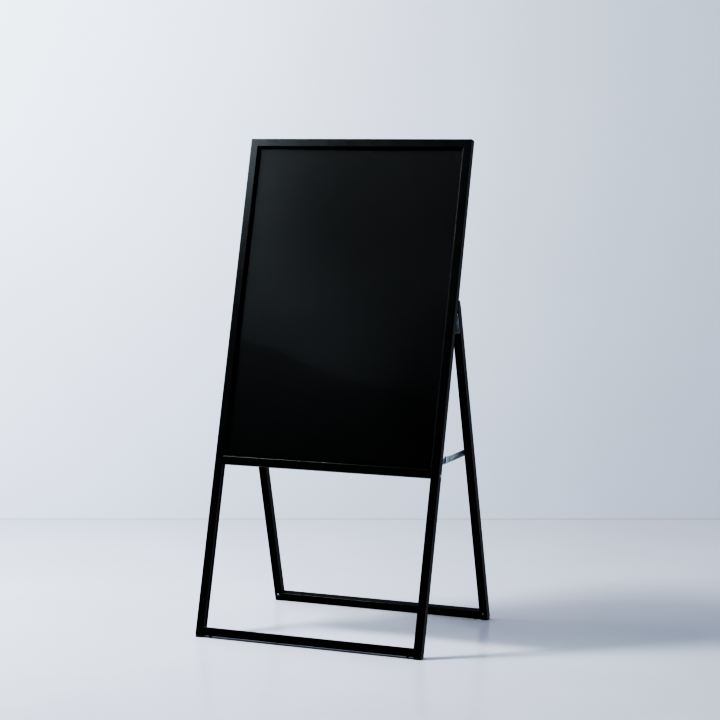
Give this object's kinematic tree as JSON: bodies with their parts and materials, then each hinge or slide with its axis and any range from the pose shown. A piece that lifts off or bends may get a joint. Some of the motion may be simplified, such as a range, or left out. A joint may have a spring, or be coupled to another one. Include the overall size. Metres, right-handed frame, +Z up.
{
  "type": "pavement sign",
  "caption": "Black A-frame pavement sign: a framed display board on side rails with a hinged prop frame and folding stays behind",
  "frame": {"origin": "on the floor, halfway between the front and rear feet and centred across the width, straight below the hinge axis", "axes": "+Z up, +X to the right seen from the front, the display face looks towards -Y"},
  "size_m": [0.633, 0.5006, 1.285],
  "materials": {
    "black_paint": "satin black powder coat on steel tube",
    "black_bead": "semi-gloss black moulded glazing bead",
    "clear_plastic": "clear polished cover sheet",
    "black_insert": "plain black printed insert",
    "black_board": "matt black foamed plastic backing board",
    "black_nylon": "moulded black nylon",
    "rubber_glide": "matt black rubber",
    "zinc_steel": "bright zinc-plated pressed steel",
    "zinc_screw": "bright zinc-plated pan-head screw"
  },
  "bodies": {
    "sign_frame": {"side_rail_left": "black_paint", "side_rail_right": "black_paint", "top_rail": "black_paint", "board_rail": "black_paint", "sign_floor_rail": "black_paint", "bead_left": "black_bead", "bead_right": "black_bead", "bead_top": "black_bead", "bead_bottom": "black_bead", "clear_cover": "clear_plastic", "insert_sheet": "black_insert", "backing_panel": "black_board", "corner_key_left": "black_nylon", "corner_key_right": "black_nylon", "board_rail_plugs": "black_nylon", "board_rail_screws": "zinc_screw", "sign_foot_left": "black_nylon", "sign_foot_right": "black_nylon", "sign_corner_screws": "zinc_screw", "sign_glides": "rubber_glide", "hinge_sign_leaf_left": "zinc_steel", "hinge_sign_leaf_right": "zinc_steel", "hinge_pins": "zinc_steel", "hinge_sign_screws": "zinc_screw", "stay_bracket_left": "zinc_steel", "stay_bracket_right": "zinc_steel", "stay_bracket_screws": "zinc_screw", "stay_front_rivet_left": "zinc_steel", "stay_front_rivet_right": "zinc_steel"},
    "prop_frame": {"prop_leg_left": "black_paint", "prop_leg_right": "black_paint", "prop_floor_rail": "black_paint", "prop_cap_left": "black_nylon", "prop_cap_right": "black_nylon", "prop_foot_left": "black_nylon", "prop_foot_right": "black_nylon", "prop_corner_screws": "zinc_screw", "prop_glides": "rubber_glide", "hinge_prop_leaf_left": "zinc_steel", "hinge_prop_leaf_right": "zinc_steel", "hinge_prop_screws": "zinc_screw", "stay_rear_rivet_left": "zinc_steel", "stay_rear_rivet_right": "zinc_steel"},
    "front_link_left": {"stay_front_link_left": "zinc_steel", "middle_rivet_front_left": "zinc_steel"},
    "rear_link_left": {"stay_rear_link_left": "zinc_steel", "middle_rivet_rear_left": "zinc_steel"},
    "front_link_right": {"stay_front_link_right": "zinc_steel", "middle_rivet_front_right": "zinc_steel"},
    "rear_link_right": {"stay_rear_link_right": "zinc_steel", "middle_rivet_rear_right": "zinc_steel"}
  },
  "joints": [
    {"name": "prop_fold", "type": "hinge", "parent": "sign_frame", "child": "prop_frame", "pos_m": [0, 0, 0.84019], "axis": [-1, 0, 0], "range_deg": [0, 30]},
    {"name": "front_link_turn_left", "type": "hinge", "parent": "sign_frame", "child": "front_link_left", "pos_m": [-0.29, -0.1002, 0.46432], "axis": [1, 0, 0], "range_deg": [0, 70.2]},
    {"name": "rear_link_turn_left", "type": "hinge", "parent": "prop_frame", "child": "rear_link_left", "pos_m": [-0.29, 0.11517, 0.46833], "axis": [-1, 0, 0], "range_deg": [0, 72.4]},
    {"name": "front_link_turn_right", "type": "hinge", "parent": "sign_frame", "child": "front_link_right", "pos_m": [0.29, -0.1002, 0.46432], "axis": [1, 0, 0], "range_deg": [0, 70.2]},
    {"name": "rear_link_turn_right", "type": "hinge", "parent": "prop_frame", "child": "rear_link_right", "pos_m": [0.29, 0.11517, 0.46833], "axis": [-1, 0, 0], "range_deg": [0, 72.4]}
  ],
  "couplings": [
    {"joint": "front_link_turn_left", "follows": "prop_fold", "ratio": 2.3358},
    {"joint": "rear_link_turn_left", "follows": "prop_fold", "ratio": 2.4069},
    {"joint": "front_link_turn_right", "follows": "prop_fold", "ratio": 2.3358},
    {"joint": "rear_link_turn_right", "follows": "prop_fold", "ratio": 2.4069}
  ]
}
